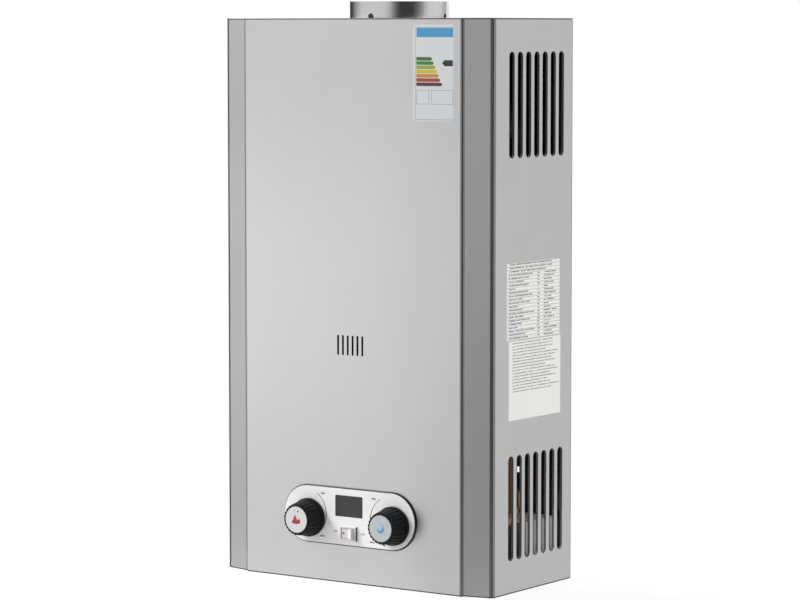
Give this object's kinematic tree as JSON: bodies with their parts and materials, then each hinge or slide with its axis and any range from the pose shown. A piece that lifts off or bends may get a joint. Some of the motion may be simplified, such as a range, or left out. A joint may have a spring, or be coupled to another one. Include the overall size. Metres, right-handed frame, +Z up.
{
  "type": "instantaneous gas water heater",
  "caption": "Wall-hung flued gas water heater in a folded steel case with slotted sides, round flue collar, two fluted knobs, a display and a rocker switch.",
  "frame": {"origin": "centre of the wall holes on the back face, at half the height of the case", "axes": "+Y out of the back towards the wall, -Y to the front, +X to the right seen from the front, +Z up"},
  "size_m": [0.34, 0.1863, 0.6075],
  "materials": {
    "case_steel": "fine satin",
    "plain_steel": "galvanised",
    "collar_steel": "polished",
    "copper": "bright copper",
    "brass": "machined",
    "cast_alloy": "as cast",
    "bright_steel": "bright",
    "ceramic": "glazed",
    "rubber": "matte",
    "black_plastic": "fine grain",
    "dark_plastic": "satin",
    "grey_plastic": "satin",
    "face_white": "satin",
    "cap_grey": "satin",
    "switch_white": "satin",
    "lens": "polished",
    "board": "printed board",
    "battery": "gloss wrap"
  },
  "bodies": {
    "heater": {"back_plate": "plain_steel", "front_panel": "case_steel", "right_side_panel": "case_steel", "left_side_panel": "case_steel", "top_panel": "plain_steel", "case_screws": "bright_steel", "bottom_shelf": "plain_steel", "flue_collar": "collar_steel", "collar_screws": "bright_steel", "draught_hood": "plain_steel", "exchanger_shell": "copper", "exchanger_fins": "copper", "exchanger_coil": "copper", "support_brackets": "plain_steel", "burner_frame": "plain_steel", "burner_blades": "bright_steel", "gas_manifold": "cast_alloy", "injector_nozzles": "brass", "electrode_insulators": "ceramic", "electrode_tips": "bright_steel", "gas_valve_body": "cast_alloy", "gas_solenoid": "black_plastic", "gas_pipe": "bright_steel", "water_valve_cover": "cast_alloy", "diaphragm": "rubber", "water_valve_body": "cast_alloy", "valve_screws": "bright_steel", "valve_spacers": "cast_alloy", "microswitch": "black_plastic", "outlet_elbow": "brass", "cold_riser": "copper", "hot_pipe": "copper", "pipe_unions": "brass", "overheat_thermostat": "dark_plastic", "flue_thermostat": "dark_plastic", "hot_outlet": "brass", "gas_inlet": "brass", "cold_inlet": "brass", "fitting_locknuts": "brass", "drain_plug": "brass", "control_bezel": "dark_plastic", "control_fascia": "face_white", "display_lens": "lens", "display_module": "board", "switch_frame": "switch_white", "battery_box": "grey_plastic", "door_pin": "bright_steel", "batteries": "battery", "ignition_controller": "dark_plastic"},
    "gas_control": {"gas_knob": "black_plastic", "gas_knob_cap": "cap_grey", "gas_spindle": "bright_steel"},
    "water_control": {"water_knob": "black_plastic", "water_knob_cap": "cap_grey", "water_spindle": "bright_steel"},
    "rocker": {"switch_rocker": "switch_white"},
    "battery_flap": {"battery_door": "grey_plastic"},
    "rod": {"push_rod": "bright_steel"},
    "lever": {"microswitch_lever": "bright_steel"}
  },
  "joints": [
    {"name": "gas_knob_turn", "type": "hinge", "parent": "heater", "child": "gas_control", "pos_m": [-0.0525, -0.1628, -0.2286], "axis": [0, 1, 0], "range_deg": [0, 120]},
    {"name": "water_knob_turn", "type": "hinge", "parent": "heater", "child": "water_control", "pos_m": [0.0555, -0.1628, -0.2286], "axis": [0, -1, 0], "range_deg": [0, 120]},
    {"name": "rocker_tilt", "type": "hinge", "parent": "heater", "child": "rocker", "pos_m": [-0.0014, -0.1626, -0.2417], "axis": [0, 0, 1], "range_deg": [0, 26]},
    {"name": "battery_door_swing", "type": "hinge", "parent": "heater", "child": "battery_flap", "pos_m": [0.1271, -0.0085, -0.2785], "axis": [1, 0, 0], "range_deg": [0, 90]},
    {"name": "rod_slide", "type": "slide", "parent": "heater", "child": "rod", "axis": [-1, 0, 0], "range_m": [0, 0.004], "stiffness_N_per_m": 250},
    {"name": "lever_swing", "type": "hinge", "parent": "heater", "child": "lever", "pos_m": [0.0015, -0.092, -0.2056], "axis": [0, 1, 0], "range_deg": [0, 13]}
  ],
  "couplings": [
    {"joint": "lever_swing", "follows": "rod_slide", "rad_per_m": 55}
  ]
}
